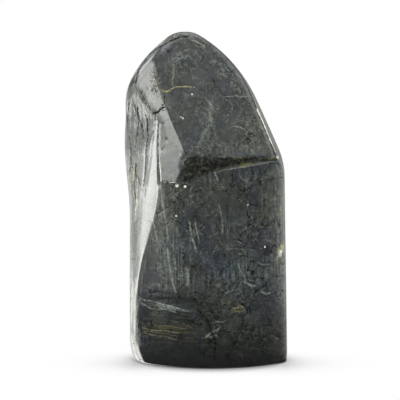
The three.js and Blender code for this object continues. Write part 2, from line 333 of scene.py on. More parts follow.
def fan_points():
    """rows that fan out over the top; the turn of a column depends on the height that it reaches"""
    rise = np.repeat(np.linspace(0, math.pi / 2, FAN_ROWS + 1)[1:-1, None], COLUMNS, 1)
    height = FAN_Z + FAN_HEIGHT * np.sin(rise)
    for _ in range(4):
        turn = column_turn(height)
        out = reach(FAN_Z, turn, rise)
        height = FAN_Z + out * np.sin(rise)
    return ray_point(FAN_Z, turn, rise, out)


# markings on the front, as points (x, z) in millimetres on the finished stone, each line with its
# half width and strength; lines that meet or cross are in different channels
# some lines are painted light: highlights along the right bevel and under the ledge, and dark
# reflections along the kite's upper edge and beside the right bevel
LINES = {"crack_1": [
    (0.4, 1, (-24.8, 113.3), (-22.9, 114.1), (-21.6, 114.6), (-20.7, 115.5), (-18.5, 117.4)),
    (0.32, 0.8, (10, 131.8), (11.8, 128.8), (14.1, 126.1), (17.2, 121.3)),
    (0.3, 0.7, (-22.6, 68.8), (-18.5, 71.8), (-12.7, 75.2), (-10.1, 76.2), (-5.2, 81.7)),
    (0.26, 0.7, (12.1, 58.8), (16.1, 57.3), (20.2, 55.9), (26.5, 54.3)),
    (0.42, 0.8, (22.1, 85), (23.2, 83.8), (24.6, 81.9)),
    (0.5, 1, (-4.8, 27.7), (0.6, 22.3), (1.5, 18.2), (3.3, 14.1), (3.7, 10), (3.3, 3.1)),
    (0.24, 0.6, (-25.5, 32.7), (-20.9, 33.8), (-15.5, 33.1), (-9.2, 33.9)),
    (0.26, 0.6, (20.8, 68.7), (21, 66.4), (20.6, 63.3)),
    (0.26, 0.7, (17.5, 39.6), (20.3, 38), (21.2, 35.7), (23.9, 34.6)),
    (0.26, 0.7, (-2.5, 43.6), (-0.8, 42.3), (1, 43.6), (2.8, 41.8), (3.7, 39.1)),
    (0.3, 0.7, (-6.5, 45.3), (-4.8, 46.3), (-2.5, 48.6), (-3, 50.8)),
    (0.22, 0.5, (-25.7, 130), (-23.9, 131), (-22.5, 128.9), (-21.2, 129.8)),
    (0.24, 0.42, (-31.5, 125.3), (-29.8, 123.2), (-27.5, 119.8), (-24.8, 115.4)),
    (0.3, 0.95, (-21.5, 110.7), (-21.6, 104.5), (-21.6, 97.9), (-21.3, 91.2), (-20.8, 81.8)),
    (0.34, 0.9, (-10.9, 84.8), (-7.4, 85.8), (-3, 86.9), (3.6, 89.1)),
    (0.34, 0.7, (-35.2, 102.4), (-34.3, 95.8), (-34.3, 89.1)),
    (0.24, 0.7, (-32.8, 118), (-30.6, 109.5), (-31.6, 100.8), (-32.6, 93)),
    (0.4, 0.8, (-27.4, 113.6), (-26.6, 109.5), (-26.3, 103.4), (-27, 98), (-27.3, 92), (-27.6, 86),
     (-28.4, 80.5)),
    (0.22, 0.5, (-10.1, 122.8), (-6.1, 121.9), (-0.8, 121.5)),
], "crack_and_dark_reflection_2": [
    (0.3, 0.9, (-18.5, 123.8), (-18.3, 122.1), (-18.9, 120.4), (-18.5, 117.4), (-17.8, 116.2)),
    (0.22, 0.6, (6.9, 134.5), (9.6, 133.1), (13.2, 132.1)),
    (0.2, 0.5, (-10.1, 76.2), (-6.5, 74.9), (-2.5, 75.9), (-0.3, 73.7)),
    (0.2, 0.6, (13, 55.4), (17.5, 54.5), (22.4, 54), (25.6, 53)),
    (0.26, 0.6, (24.8, 32.2), (25.5, 28.5), (26.7, 24.7)),
    (0.3, 0.7, (0.6, 22.3), (4.2, 23.7), (7.7, 23.1), (10.9, 24.4)),
    (0.3, 0.6, (1.5, 17.3), (-1.2, 14.5), (-2.5, 11.3)),
    (0.24, 0.6, (-21.8, 30.3), (-15.5, 31.3), (-9.2, 31.2), (-4.8, 30)),
    (0.26, 0.6, (11.3, 31.2), (14.9, 29.7), (18, 27.2), (22.1, 25.6)),
    (0.22, 0.6, (23.4, 47.8), (25.7, 45.8), (28.4, 46.9)),
    (0.24, 0.6, (-1.2, 37.7), (-0.3, 40.5), (1.5, 38.7), (2.8, 40.5)),
    (0.22, 0.5, (-25.3, 122.6), (-23.9, 124.9), (-22.1, 123.2), (-20.7, 125.9)),
    # painted dark reflection along the kite's upper left edge, up to the crest
    (0.4, 0.9, (-31.7, 125.7), (-31.8, 127.8), (-30.8, 132.1), (-29.1, 134.7), (-25.5, 139.1),
     (-23.2, 141.1), (-20.9, 142.8), (-16.4, 145.3), (-11.9, 146.8), (-7.5, 147.3)),
    (0.2, 0.38, (-23.7, 104.2), (-24.8, 95.2), (-26, 88.3), (-27.2, 81.4), (-27.9, 75.9)),
    # painted dark reflection beside the right bevel
    (0.3, 0.8, (24, 113.4), (26.1, 108.8), (27.9, 105.1), (29.6, 100.8), (33, 93.3)),
    (0.36, 0.8, (-31.9, 90.9), (-32.4, 84.9), (-32.9, 78.1), (-31.9, 73.8)),
    (0.4, 0.8, (-31.3, 116.7), (-30.4, 110.7), (-28.6, 105.6), (-28.1, 101.3)),
    (0.22, 0.6, (-35, 118), (-35.8, 110), (-35.6, 104)),
    (0.26, 0.6, (-34.8, 93), (-33.6, 88.5), (-30.6, 83.6), (-29.8, 80.2)),
    (0.22, 0.6, (29.6, 69.4), (31, 66.2), (32.4, 63.3)),
    (0.3, 0.6, (30, 13.7), (31.8, 12.6), (33.2, 11.9)),
], "pale_1": [
    (0.33, 0.61, (-7.9, 66.9), (-7, 62), (-6.1, 57.9), (-4.3, 53)),
    (0.27, 0.44, (-24.4, 67.3), (-23.1, 62.4), (-22.2, 57.1)),
    (0.27, 0.5, (-14.1, 50), (-13.7, 44.1)),
    (0.54, 0.5, (-9, 46.1), (-8.3, 42.1), (-8.8, 37.5)),
    (0.27, 0.4, (-15, 136.6), (-14.6, 132.3), (-15.4, 125.9)),
    (0.21, 0.42, (-15.9, 136.7), (-12.8, 139.2), (-10.1, 140.9), (-7.5, 141.7)),
    (0.6, 0.26, (2.4, 120), (1.5, 114.4), (1.9, 109.3), (-0.8, 106.5), (-3.9, 99.8)),
    (0.24, 0.5, (22.5, 47.8), (25.2, 46.3), (28.4, 46.4)),
    (0.3, 0.44, (23.9, 34.6), (26.6, 32.9), (29.4, 33.6)),
    (0.34, 0.4, (-2.2, 13.8), (0.2, 14.6), (1.8, 16.6), (4.6, 17.4), (6.4, 19.6)),
    (0.3, 0.39, (-20.7, 83.7), (-19.9, 75.7), (-18.1, 65.9), (-17.2, 57.4)),
    (0.24, 0.39, (5.4, 74.1), (6.8, 67.9), (7.2, 61.1)),
    (0.21, 0.39, (-26.1, 117.8), (-25.3, 122.2), (-25.7, 127.4)),
    (0.23, 0.72, (-29.1, 29.6), (-24.6, 29.4), (-20.9, 28.8), (-14.6, 27.6), (-7.9, 25.9)),
    (0.17, 0.5, (-22, 27.3), (-17.5, 26.3), (-12.5, 25)),
    (0.22, 0.5, (-7.5, 145.6), (-4.8, 145), (-2.2, 143.6), (0.6, 141.2)),
    (0.2, 0.4, (7.6, 134.8), (10.2, 131.6), (12.6, 128.2)),
], "pale_2": [
    (0.24, 0.44, (-5.2, 66.9), (-4.3, 62), (-3, 57.1)),
    (0.3, 0.5, (-17.7, 54.3), (-16.8, 48), (-15.5, 39.9), (-13.7, 34.1)),
    (0.36, 0.55, (3.2, 89.4), (4.1, 87), (5, 84.8)),
    (0.18, 0.42, (-14.1, 136.2), (-10.6, 138.3), (-7.9, 138.7), (-6.1, 136.9)),
    (0.17, 0.44, (6.8, 120.7), (12.7, 121), (19.4, 120.6)),
    (0.4, 0.3, (-0.8, 120.9), (1.9, 117.4), (3.2, 114.4)),
    (0.21, 0.5, (11.2, 108.2), (14.8, 107.7), (17.9, 105.5)),
    (0.36, 0.5, (16.6, 43.2), (17.1, 39.1), (19.4, 37.6), (22.5, 36.9)),
    (0.3, 0.36, (-1, 15.9), (1.5, 14.3), (4.2, 15.2), (5.5, 14.2)),
    (0.21, 0.5, (-30.1, 28.4), (-25.5, 26.2), (-20.9, 26), (-15.5, 26.7)),
    (0.21, 0.39, (13.9, 48.3), (14.8, 44.7), (16.2, 41.9)),
    (0.3, 0.55, (-20.7, 109.9), (-20.7, 102.4), (-20.7, 94.4), (-20.4, 87.3)),
    (0.16, 0.5, (-24.5, 28.2), (-19, 27.7), (-13.5, 26.3)),
    (0.2, 0.4, (2.4, 20.6), (4.4, 21.6), (7.7, 21.2)),
    (0.18, 0.5, (-4, 142.6), (-1.6, 142.4), (0.2, 139.8)),
], "gold_1": [
    (0.2, 0.8, (-19.8, 123.8), (-17.6, 123.6), (-14.1, 125.5), (-9.6, 125.6), (-5.2, 125.1)),
    (0.36, 0.72, (31.1, 47.5), (32, 49.4)),
    (1, 0.8, (32.4, 50.6), (33.2, 52.4), (34.4, 54.8)),
    (0.2, 0.5, (10.9, 26.4), (12.2, 27.7), (13.6, 27.3), (14.6, 28.5), (16.9, 27.9)),
    (0.18, 0.42, (11.9, 25.5), (13.4, 26.1), (14.9, 25.6), (17.4, 26.6)),
    (0.23, 0.48, (14.8, 92.2), (17.8, 91.7), (21.4, 92.5)),
    (0.2, 0.26, (-28.8, 14.6), (-23.5, 13.7), (-19, 13.9), (-13.2, 12.6)),
    (0.18, 0.22, (-15.6, 21.2), (-10.1, 20.1), (-6.6, 18.6)),
    (0.22, 0.28, (-29.4, 16.8), (-24.6, 16), (-18.2, 16.6), (-12.4, 15.8)),
    (0.17, 0.2, (-27, 19), (-22.2, 18.6), (-16.4, 18.9), (-9, 17.6)),
    (0.34, 0.5, (-32.6, 89.4), (-33.4, 82.6), (-32.6, 76), (-31, 71.6)),
], "bright_and_highlight_1": [
    # painted highlight along the right bevel
    (0.36, 1, (22.4, 115.3), (24.9, 110.5), (27, 105.6), (28.7, 101.3), (32.4, 93.9)),
    # painted highlight on the lower face's top edge, under the ledge
    (0.16, 0.2, (10.3, 89.9), (19.1, 91.1), (25.9, 92), (30.9, 92.7)),
    (0.2, 0.4, (-31, 84), (-31.6, 75), (-32.6, 64)),
    (0.6, 0.95, (32.6, 49.2), (33.1, 50.6), (34, 52.6)),
]}
# small spots (x, z) with their radius
PALE_SPOTS = [(-13.2, 82.5, 0.75), (-9.6, 82.2, 0.6), (31.6, 93.8, 0.8), (-13.6, 68.9, 0.45),
              (18.3, 73.8, 0.4), (26.1, 54.4, 0.45), (-27, 37.1, 0.3), (-10.5, 112.2, 0.35),
              (-11.4, 112.7, 0.3), (-6.5, 122.3, 0.35)]
DARK_SPOTS = [(-27.1, 124.7, 0.4), (-17.2, 65.5, 0.45), (-17.7, 59.7, 0.45), (-6.1, 46.7, 0.6),
              (-4.8, 44.9, 0.5), (21, 67.3, 0.5), (20.6, 63.8, 0.5), (21.2, 38, 0.6),
              (29.6, 65.8, 0.5), (32, 63.8, 0.4), (-19.3, 109.5, 0.35), (-18, 102.6, 0.35),
              (-19.8, 98, 0.3), (17.4, 72.5, 0.4), (-1.7, 70.1, 0.35), (13, 69.1, 0.35)]
# soft patches by kind, each with its middle (x, z), half length, half width, tilt in degrees and
# strength; smooth ones have a calmer polish
PATCHES = {"blue": [
    (-16, 27.5, 13.5, 1.4, -7, 0.5), (-21, 24.2, 4.5, 1, -7, 0.35), (-19, 57, 2.4, 1.8, 0, 0.8),
    (-18, 53, 7.5, 8.5, 0, 0.25), (14, 43, 12, 9, 25, 0.3), (26, 45, 6.5, 5.5, 0, 0.3),
    (10, 68, 7, 8, 0, 0.15),
], "gold": [
    (-16.5, 16, 15, 5, -7, 0.75), (-14, 21, 13, 5, -9, 0.35), (32.5, 51.5, 4.6, 1.9, 62, 0.9),
    (14, 27.5, 3.6, 1.8, 0, 0.75), (-18, 124.2, 2.6, 1.5, 10, 0.8), (17.5, 91.6, 3.6, 1, 8, 0.9),
    (28.4, 93.6, 3.4, 1, 6, 0.9), (-5, 98, 4.5, 2.4, 0, 0.4), (3, 131, 3, 1.6, 0, 0.2),
], "olive": [
    (26, 105, 9, 13, -30, 0.6), (29, 76, 8, 15, 0, 0.9), (-15, 79, 6, 8.5, 0, 0.6),
    (4, 79, 17, 8, 0, 0.5), (-18, 66, 5.5, 9, 0, 0.5), (8, 20, 26, 14, 0, 0.35),
    (-28, 98, 3.5, 18, 0, 0.25),
], "dark": [
    # the long low patch at (3, 3) is painted shade along the foot, where the stone meets the floor
    (11, 100.5, 19, 4.5, 6, 0.22), (4, 75, 11, 11, 0, 0.16), (3, 3, 40, 9, 0, 0.62),
    (1.5, 24, 8, 13, 20, 0.55), (-15, 31.4, 14, 2.6, -5, 0.8), (12, 78, 10, 8, 0, 0.2),
    (-27.5, 42, 3, 10, 0, 0.45), (19, 9.5, 14, 11, 0, 0.5), (-17, 6, 15, 6, 0, 0.45),
    (-18, 20, 16, 12, 0, 0.42), (-2, 87, 10, 3, 8, 0.3), (27, 53, 3, 2.6, 0, 0.6),
    (27, 46.5, 5, 1.2, 0, 0.5),
], "haze": [
    (33, 60, 3.2, 34, 0, 0.45), (-16, 55, 8, 12, 0, 0.36), (-7, 60, 3, 8, 0, 0.25),
    (-15, 42, 7, 8, 0, 0.3), (20, 42, 9, 7, 0, 0.35), (-13, 136, 6, 6, 0, 0.4),
    (8, 131, 9, 5, -40, 0.3), (0, 108, 4, 11, 0, 0.3), (20, 101, 9, 6, 0, 0.18),
    (-20, 74, 2.5, 14, 0, 0.48),
], "speckle": [
    (11, 127, 19, 3.2, -54, 0.9), (-3, 143, 7, 2.6, -20, 0.8), (20, 104, 10, 11, -30, 0.85),
    (4, 99, 22, 4, 4, 0.8), (-1, 112, 5, 12, 20, 0.5), (33.5, 55, 3.5, 34, 0, 0.7),
    (14, 36, 17, 9, 12, 0.7), (3, 23, 9, 13, 20, 0.8), (-19, 56, 6, 22, 0, 0.7),
    (-8, 80, 12, 7, 8, 0.6), (20, 84, 14, 5, 8, 0.5), (24, 63, 10, 9, 0, 0.5),
    (21, 12, 14, 10, 0, 0.95),
], "smooth": [
    (-7, 113, 9, 13, 12, 0.9), (-4, 70, 9, 7, 0, 0.6), (6, 62, 9, 10, 0, 0.5),
], "chips": [
    (-22.8, 127.5, 2.6, 6, 12, 0.9), (-14.5, 83.9, 5, 1.5, 0, 1), (-19, 104, 1.2, 6, 0, 0.5),
    (-19.5, 121, 1.2, 4, 0, 0.6),
]}

# how far from a line its values go, how its ends taper, from which x on the marks fade towards the
# side, and the value of places that are far from any spot
LINE_REACH, TAPER_FROM, TAPER_LENGTH = 3.0, 0.3, 1.2
RIGHT_X, FAR_SPOT = 14.3, 30.0

# relief: the polish's waves and the ledge's crust as pairs of size and depth, and sunk marks
WAVE_DEPTHS = ((9.0, 0.05), (4.0, 0.02))
CRUST_DEPTHS = ((2.4, 0.75), (1.1, 0.5))
CRACK_AND_DARK_REFLECTION_DEPTH, DARK_PIT_DEPTH, PALE_PIT_DEPTH = 0.10, 0.18, 0.12


def cloud(points, size, seed):
    """smooth random values from 0 to 1 over space, with features of about size millimetres"""
    cell = points / size + 1000.0
    low = np.floor(cell).astype(np.int64)
    part = cell - low
    part = part * part * (3 - 2 * part)
    total = np.zeros(points.shape[:-1])
    for corner in range(8):
        step = np.array([corner & 1, corner >> 1 & 1, corner >> 2 & 1])
        key = (low + step) @ np.array([73856093, 19349663, 83492791]) + seed * 9176213
        key = (key ^ key >> 13) * 1274126177 & 0x7FFFFFFF
        key = (key ^ key >> 11) * 668265263 & 0x7FFFFFFF
        weight = np.prod(np.where(step, part, 1 - part), -1)
        total += weight * ((key ^ key >> 15) & 0xFFFF) / 0xFFFF
    return total


def bumps(points, depths, seed):
    """uneven heights about 0, from clouds of several sizes, each with its depth"""
    return sum(depth * (cloud(points, size, seed + i) - 0.5)
               for i, (size, depth) in enumerate(depths))


def outward(points):
    """the skin's outward directions"""
    step = 0.05
    x, y, z = points.T
    near = np.stack([stone(x + step, y, z), stone(x, y + step, z), stone(x, y, z + step)], -1)
    slope = near - stone(x, y, z)[:, None]
    return slope / np.maximum(np.linalg.norm(slope, axis=-1, keepdims=True), 1e-9)


def line_values(lines, points, shown):
    """signed distance from the nearest of some lines in half widths, and their strength near them"""
    nearest = np.full(len(points), 1e9)
    side = np.zeros(len(points))
    strength = np.zeros(len(points))
    flat = points[:, [0, 2]]
    for width, power, *corners in lines:
        corners = np.array(corners)
        lengths = np.linalg.norm(np.diff(corners, axis=0), axis=1)
        total, before = lengths.sum(), 0.0
        for a, b, length in zip(corners[:-1], corners[1:], lengths):
            way = (b - a) / length
            go = (flat - a) @ way
            held = np.clip(go, 0, length)
            away = np.linalg.norm(flat - a - held[:, None] * way, axis=1)
            cross = (flat[:, 0] - a[0]) * way[1] - (flat[:, 1] - a[1]) * way[0]
            gone = before + go
            taper = (np.clip((gone + TAPER_FROM) / TAPER_LENGTH, 0, 1)
                     * np.clip((total - gone + TAPER_FROM) / TAPER_LENGTH, 0, 1))
            closer = away < nearest
            nearest[closer] = away[closer]
            side[closer] = (np.sign(cross) * away / width)[closer]
            strength[closer] = (power * taper)[closer]
            before += length
    return side, strength * shown * np.clip(LINE_REACH - nearest, 0, 1)


def spot_values(spots, points, shown):
    """squared distance from the nearest spot, 1 at its edge"""
    nearest = np.full(len(points), FAR_SPOT)
    for x, z, radius in spots:
        square = ((points[:, 0] - x) ** 2 + (points[:, 2] - z) ** 2) / radius ** 2
        nearest = np.minimum(nearest, square)
    return np.where(shown > 0.5, nearest, FAR_SPOT)


def patch_values(kind, points, shown):
    """strength of a kind of patch, with a ragged edge"""
    value = np.zeros(len(points))
    ragged = bumps(points, ((3.0, 0.55), (1.2, 0.5)), 11)
    for x, z, length, width, tilt, power in PATCHES[kind]:
        a = math.radians(tilt)
        dx, dz = points[:, 0] - x, points[:, 2] - z
        u = (dx * math.cos(a) + dz * math.sin(a)) / length
        v = (dz * math.cos(a) - dx * math.sin(a)) / width
        value = np.maximum(value, power * ramp(1.15, 0.45, np.hypot(u, v) + ragged))
    return value * shown


def add_object(name, data):
    thing = bpy.data.objects.new(name, data)
    bpy.context.scene.collection.objects.link(thing)
    return thing


def closed_mesh(name, rows, bottom, top):
    """a closed mesh from rows of points round an axis, with a point at each end"""
    count, around = rows.shape[:2]
    points = np.concatenate([bottom[None], rows.reshape(-1, 3), top[None]])
    j = np.arange(around)
    k = (j + 1) % around
    low = 1 + np.arange(count - 1)[:, None] * around
    high = low + around
    quads = np.stack([low + j, low + k, high + k, high + j], -1).reshape(-1, 4)
    last = high[-1]
    under = np.stack([0 * j, 1 + k, 1 + j], -1)
    over = np.stack([0 * j + len(points) - 1, last + j, last + k], -1)
    mesh = bpy.data.meshes.new(name)
    mesh.from_pydata((points * MM).tolist(), [], quads.tolist() + under.tolist() + over.tolist())
    mesh.polygons.foreach_set("use_smooth", [True] * len(mesh.polygons))
    mesh.update()
    return mesh


def all_lines(points, front, forward):
    """the values of every channel; forward is how far the skin faces the front, up to 1"""
    wide_front = ramp(-0.45, -0.25, forward)
    off_right_side = np.where(points[:, 0] > RIGHT_X, ramp(0.13, 0.17, forward), 1)
    return {name: line_values(lines, points, off_right_side
                              * (wide_front if name.startswith("crack") else front))
            for name, lines in LINES.items()}


def facet_shares(spot, front, forward):
    """how far each place is on the unpolished ledge, the scooped flank and the calm facets"""
    x, _, z = spot
    strip = strip_wall(*spot)
    ledge = ramp(-0.5, 0.5, z - crease(x)) * ramp(0.4, -0.6, z - lip(x)) * ramp(-12, -8, x)
    flank = ramp(-2, -0.4, flank_wall(*spot)) * ramp(-0.1, -0.4, strip)
    flank = flank * ramp(3, 10, z) * ramp(127, 122, z)
    calm = [ramp(-0.5, -0.15, wall) for wall in (strip, past(KITE, *spot), past(CHAMFER, *spot))]
    return ledge * front * ramp(0.05, 0.35, forward), flank * front, np.maximum.reduce(calm) * front


def carry(mesh, name, parts):
    """three values on every point of the mesh; those at its two ends stay blank"""
    data = np.zeros((len(mesh.vertices), 3))
    data[1:-1] = np.stack(parts, -1)
    if name == "spots":
        data[[0, -1], :2] = FAR_SPOT
    layer = mesh.attributes.new(name, "FLOAT_VECTOR", "POINT")
    layer.data.foreach_set("vector", data.astype(np.float32).ravel())


def make_stone():
    """the stone's skin with its relief and the values of its marks"""
    rows = np.concatenate([base_points(), body_points(), fan_points()])
    top_out = reach(FAN_Z, np.zeros(1), np.full(1, math.pi / 2))[0]
    top = np.array([AXIS_X + AXIS_LEAN[0] * top_out, AXIS_LEAN[1] * top_out, FAN_Z + top_out])
    bottom = np.array([AXIS_X, 0.0, 0.0])
    flat = rows.reshape(-1, 3)
    spot = flat.T
    normal = outward(flat)
    forward = -normal[:, 1]
    front = ramp(-0.02, 0.12, forward)

    # relief: rough ledge, sunk cracks and painted dark reflection lines, pits, and a faint waviness
    # of the polish
    centred = flat - MIDDLE
    ledge, flank, calm = facet_shares(spot, front, forward)
    lines = all_lines(centred, front, forward)
    dark_spots = spot_values(DARK_SPOTS, centred, front)
    pale_spots = spot_values(PALE_SPOTS, centred, front)
    sunk = sum(CRACK_AND_DARK_REFLECTION_DEPTH * strength * np.exp(-side ** 2 / 4)
               for name, (side, strength) in lines.items() if name.startswith("crack"))
    pits = DARK_PIT_DEPTH * np.exp(-dark_spots / 2) + PALE_PIT_DEPTH * np.exp(-pale_spots / 2)
    polish = ramp(2.0, 6.0, spot[2]) * (bumps(centred, WAVE_DEPTHS, 1) - sunk - pits)
    placed = centred + normal * (polish + ledge * bumps(centred, CRUST_DEPTHS, 3))[:, None]
    mesh = closed_mesh("labradorite_skin", placed.reshape(rows.shape), bottom - MIDDLE, top - MIDDLE)

    # marks, as values on the points
    def patches(*kinds):
        return [patch_values(kind, placed, front) for kind in kinds]

    for name, (side, strength) in lines.items():
        carry(mesh, name, (side, strength, 0 * side))
    carry(mesh, "spots", (pale_spots, dark_spots, ledge))
    carry(mesh, "flash", patches("blue", "gold", "olive"))
    carry(mesh, "tone", patches("dark", "haze", "chips"))
    smooth, speckle = patches("smooth", "speckle")
    carry(mesh, "facet", (flank, np.maximum(calm, smooth), speckle))
    return add_object("labradorite_skin", mesh)


class Nodes:
    """short calls that add nodes to a tree"""

    def __init__(self, tree):
        self.tree = tree
        tree.nodes.clear()

    def add(self, kind, **settings):
        node = self.tree.nodes.new("ShaderNode" + kind)
        for name, value in settings.items():
            setattr(node, name, value)
        return node

    def feed(self, socket, value):
        if isinstance(value, bpy.types.NodeSocket):
            self.tree.links.new(value, socket)
        else:
            socket.default_value = value

    def fill(self, node, inputs):
        """feeds a node's inputs by name, and gives its first output"""
        for name, value in inputs.items():
            self.feed(node.inputs[name], value)
        return node.outputs[0]

    def wire(self, node, *values):
        """feeds a node's inputs in their order, and gives its first output"""
        return self.fill(node, dict(enumerate(values)))

    def math(self, operation, *values):
        return self.wire(self.add("Math", operation=operation), *values)

    def times(self, *values):
        product = values[0]
        for value in values[1:]:
            product = self.math("MULTIPLY", product, value)
        return product

    def plus(self, *values):
        total = values[0]
        for value in values[1:]:
            total = self.math("ADD", total, value)
        return total

    def span(self, value, low, high, start=0, end=1, slope="SMOOTHSTEP"):
        """value from low to high, as start to end"""
        node = self.add("MapRange", clamp=True, interpolation_type=slope)
        return self.wire(node, value, low, high, start, end)

    def even(self, *values):
        """a span with an even slope"""
        return self.span(*values, slope="LINEAR")

    def mix(self, share, first, second, blend="MIX"):
        node = self.add("Mix", data_type="RGBA", blend_type=blend)
        self.fill(node, {0: share, 6: first, 7: second})
        return node.outputs[2]

    def split(self, vector):
        """the three parts of a vector"""
        parts = self.add("SeparateXYZ")
        self.wire(parts, vector)
        return parts.outputs[:3]

    def values(self, name):
        """the three values that the mesh carries under a name"""
        return self.split(self.add("Attribute", attribute_name=name).outputs["Vector"])

    def place(self, where, scale, turn=(0, 0, 0)):
        """places turned and stretched"""
        turn = [math.radians(angle) for angle in turn]
        return self.fill(self.add("Mapping"), {"Vector": where, "Rotation": turn, "Scale": scale})

    def noise(self, where, scale, detail=2, rough=0.5, bend=0, output="Fac"):
        node = self.add("TexNoise")
        self.fill(node, {"Vector": where, "Scale": scale, "Detail": detail, "Roughness": rough,
                         "Distortion": bend})
        return node.outputs[output]

    def bend(self, where, scale, amount):
        """the place, shifted unevenly by up to about amount"""
        shift = self.noise(where, scale, 3, output="Color")
        node = self.add("VectorMath", operation="MULTIPLY_ADD")
        return self.wire(node, shift, (amount, amount, amount), where)

    def cell_edges(self, where, size):
        """distance from the nearest wall between cells of about a size"""
        node = self.add("TexVoronoi", feature="DISTANCE_TO_EDGE")
        return self.times(self.fill(node, {"Vector": where, "Scale": 1 / size}), size)

    def for_rays(self, kind, surface, others):
        """one surface for a kind of ray, and another for all other rays"""
        meets = self.add("LightPath").outputs[kind]
        return self.wire(self.add("MixShader"), meets, others, surface)


def tone(red, green, blue):
    """a colour as it looks on a screen, 0 to 255, as a linear colour"""
    def linear(value):
        value /= 255
        return value / 12.92 if value <= 0.04045 else ((value + 0.055) / 1.055) ** 2.4
    return (linear(red), linear(green), linear(blue), 1.0)


# the stone's colours
BODY_BLUE, BODY_GREEN = tone(43, 47, 52), tone(48, 51, 48)
BODY_PALE, BODY_DEEP = tone(62, 65, 67), tone(32, 35, 35)
LAMELLA_PALE, LAMELLA_DARK = tone(88, 92, 88), tone(24, 27, 27)
FLASH_BLUE, FLASH_GOLD = tone(90, 106, 112), tone(108, 104, 62)
STAIN_OLIVE, HAZE = tone(78, 82, 62), tone(106, 114, 106)
VEIN, FISSURE = tone(118, 126, 114), tone(8, 10, 10)
GRAIN_PALE, STONE_DARK = tone(106, 112, 96), tone(14, 16, 15)
FLANK_PALE, FLANK_DARK = tone(118, 118, 104), tone(20, 22, 20)
LINE_PALE, LINE_GOLD = tone(128, 136, 124), tone(156, 150, 110)
# the bright lines are partly painted highlights, the dark crack lines partly painted dark reflections
LINE_BRIGHT_AND_HIGHLIGHT, LINE_CRACK_AND_DARK_REFLECTION = tone(226, 230, 220), tone(10, 12, 11)
SPOT_PALE, SPOT_DARK = tone(222, 224, 212), tone(12, 13, 12)
CHIP_DARK, CHIP_BROWN = tone(30, 32, 28), tone(96, 90, 62)
# the crust's near black is partly painted shade of the recess under the upper facet
CRUST_DARK_AND_SHADE, CRUST_PALE = tone(7, 9, 7), tone(62, 66, 50)
CRUST_OLIVE, CRUST_GOLD = tone(80, 84, 46), tone(88, 90, 32)
STONE_IOR = 1.56


class StoneNodes(Nodes):
    """what the layers of the stone's look share; later layers cover the earlier ones"""

    def __init__(self, tree):
        super().__init__(tree)
        self.mm = self.place(self.add("TexCoord").outputs["Object"], (1 / MM, 1 / MM, 1 / MM))
        self.height = self.split(self.mm)[2]
        self.blue, self.gold, self.olive = self.values("flash")
        self.dark, self.haze, self.chips = self.values("tone")
        self.pale_spot, self.dark_spot, self.ledge = self.values("spots")
        self.flank, self.calm, self.speckle = self.values("facet")

        # crystals of three sizes, the ledge's crumbs, and how lines waver and break
        self.middle = self.noise(self.mm, 0.17, 4, 0.6, 0.9)
        self.small = self.noise(self.mm, 0.62, 4, 0.66, 0.5)
        self.grit = self.noise(self.mm, 2.3, 1)
        self.crumb = self.noise(self.mm, 0.85, 4, 0.7)
        self.jitter = self.times(self.math("SUBTRACT", self.noise(self.mm, 0.9, 3, 0.6), 0.5), 3.2)
        self.broken = self.span(self.noise(self.mm, 0.7, 3, 0.6), 0.38, 0.54)

        # fine parallel streaks: upright in the body, nearly level at the foot, and on the flank
        self.upright = self.streaks((1.3, 1.3, 0.075), -9, 3, 0.6, 0.3)
        self.level = self.streaks((0.06, 0.3, 1.1), -7, 4, 0.7, 0.3)
        self.flow = self.streaks((0.7, 0.7, 0.055), 5, 4, 0.65, 1.3)
        self.foot = self.span(self.plus(self.height, self.times(self.middle, 10)), 47, 34)
        body = self.math("SUBTRACT", 1, self.foot)
        self.streak = self.plus(self.times(self.upright, body), self.times(self.level, self.foot))

    def streaks(self, scale, tilt, *noise):
        return self.noise(self.place(self.mm, scale, (0, tilt, 0)), 1, *noise)

    def cover(self, colour, *shares):
        self.colour = self.mix(self.times(*shares), self.colour, colour)

    def darken(self, *factors):
        self.colour = self.mix(1, self.colour, self.times(*factors), "MULTIPLY")


def crystal(n):
    """broad regions of the crystal that differ in hue and depth"""
    broad = n.noise(n.mm, 0.05, 2, 0.5, 0.6)
    n.colour = n.mix(n.span(broad, 0.38, 0.62), BODY_BLUE, BODY_GREEN)
    n.cover(BODY_PALE, n.span(n.middle, 0.48, 0.72))
    n.cover(BODY_DEEP, n.span(n.middle, 0.47, 0.30), 0.75)


def lamellae(n):
    """pale and dark streaks, in patches"""
    patchy = n.math("MAXIMUM", n.span(n.noise(n.mm, 0.1), 0.42, 0.6), n.times(n.foot, 0.8))
    n.cover(LAMELLA_PALE, n.span(n.streak, 0.53, 0.68), patchy, 0.42)
    n.cover(LAMELLA_DARK, n.span(n.streak, 0.48, 0.34), patchy, 0.6)


def flashes(n):
    """soft tints of blue and gold, olive stains, and a pale haze"""
    n.cover(FLASH_BLUE, n.blue, n.span(n.streak, 0.42, 0.62, 0, 0.75))
    n.cover(FLASH_GOLD, n.gold, n.span(n.level, 0.49, 0.59, 0, 0.75))
    n.cover(STAIN_OLIVE, n.olive, n.span(n.middle, 0.36, 0.6, 0.2, 0.8), 0.6)
    n.cover(HAZE, n.haze, n.span(n.upright, 0.44, 0.64, 0.05, 0.9))


def grain(n):
    """small lighter and darker crystals"""
    n.darken(n.even(n.small, 0.28, 0.74, 0.5, 1.5), n.even(n.grit, 0.25, 0.75, 0.75, 1.25))


def threads(n, turn, scale, width, low):
    """winding lines where a noise passes its middle, in broken patches"""
    turned = n.place(n.mm, (1, 1, 1), turn)
    away = n.math("ABSOLUTE", n.math("SUBTRACT", n.noise(turned, scale, 4, 0.55, 0.7), 0.5))
    patches = n.span(n.noise(turned, 0.16, 4, 0.7), low, low + 0.06)
    return n.times(n.span(away, width, width * 0.2), patches)


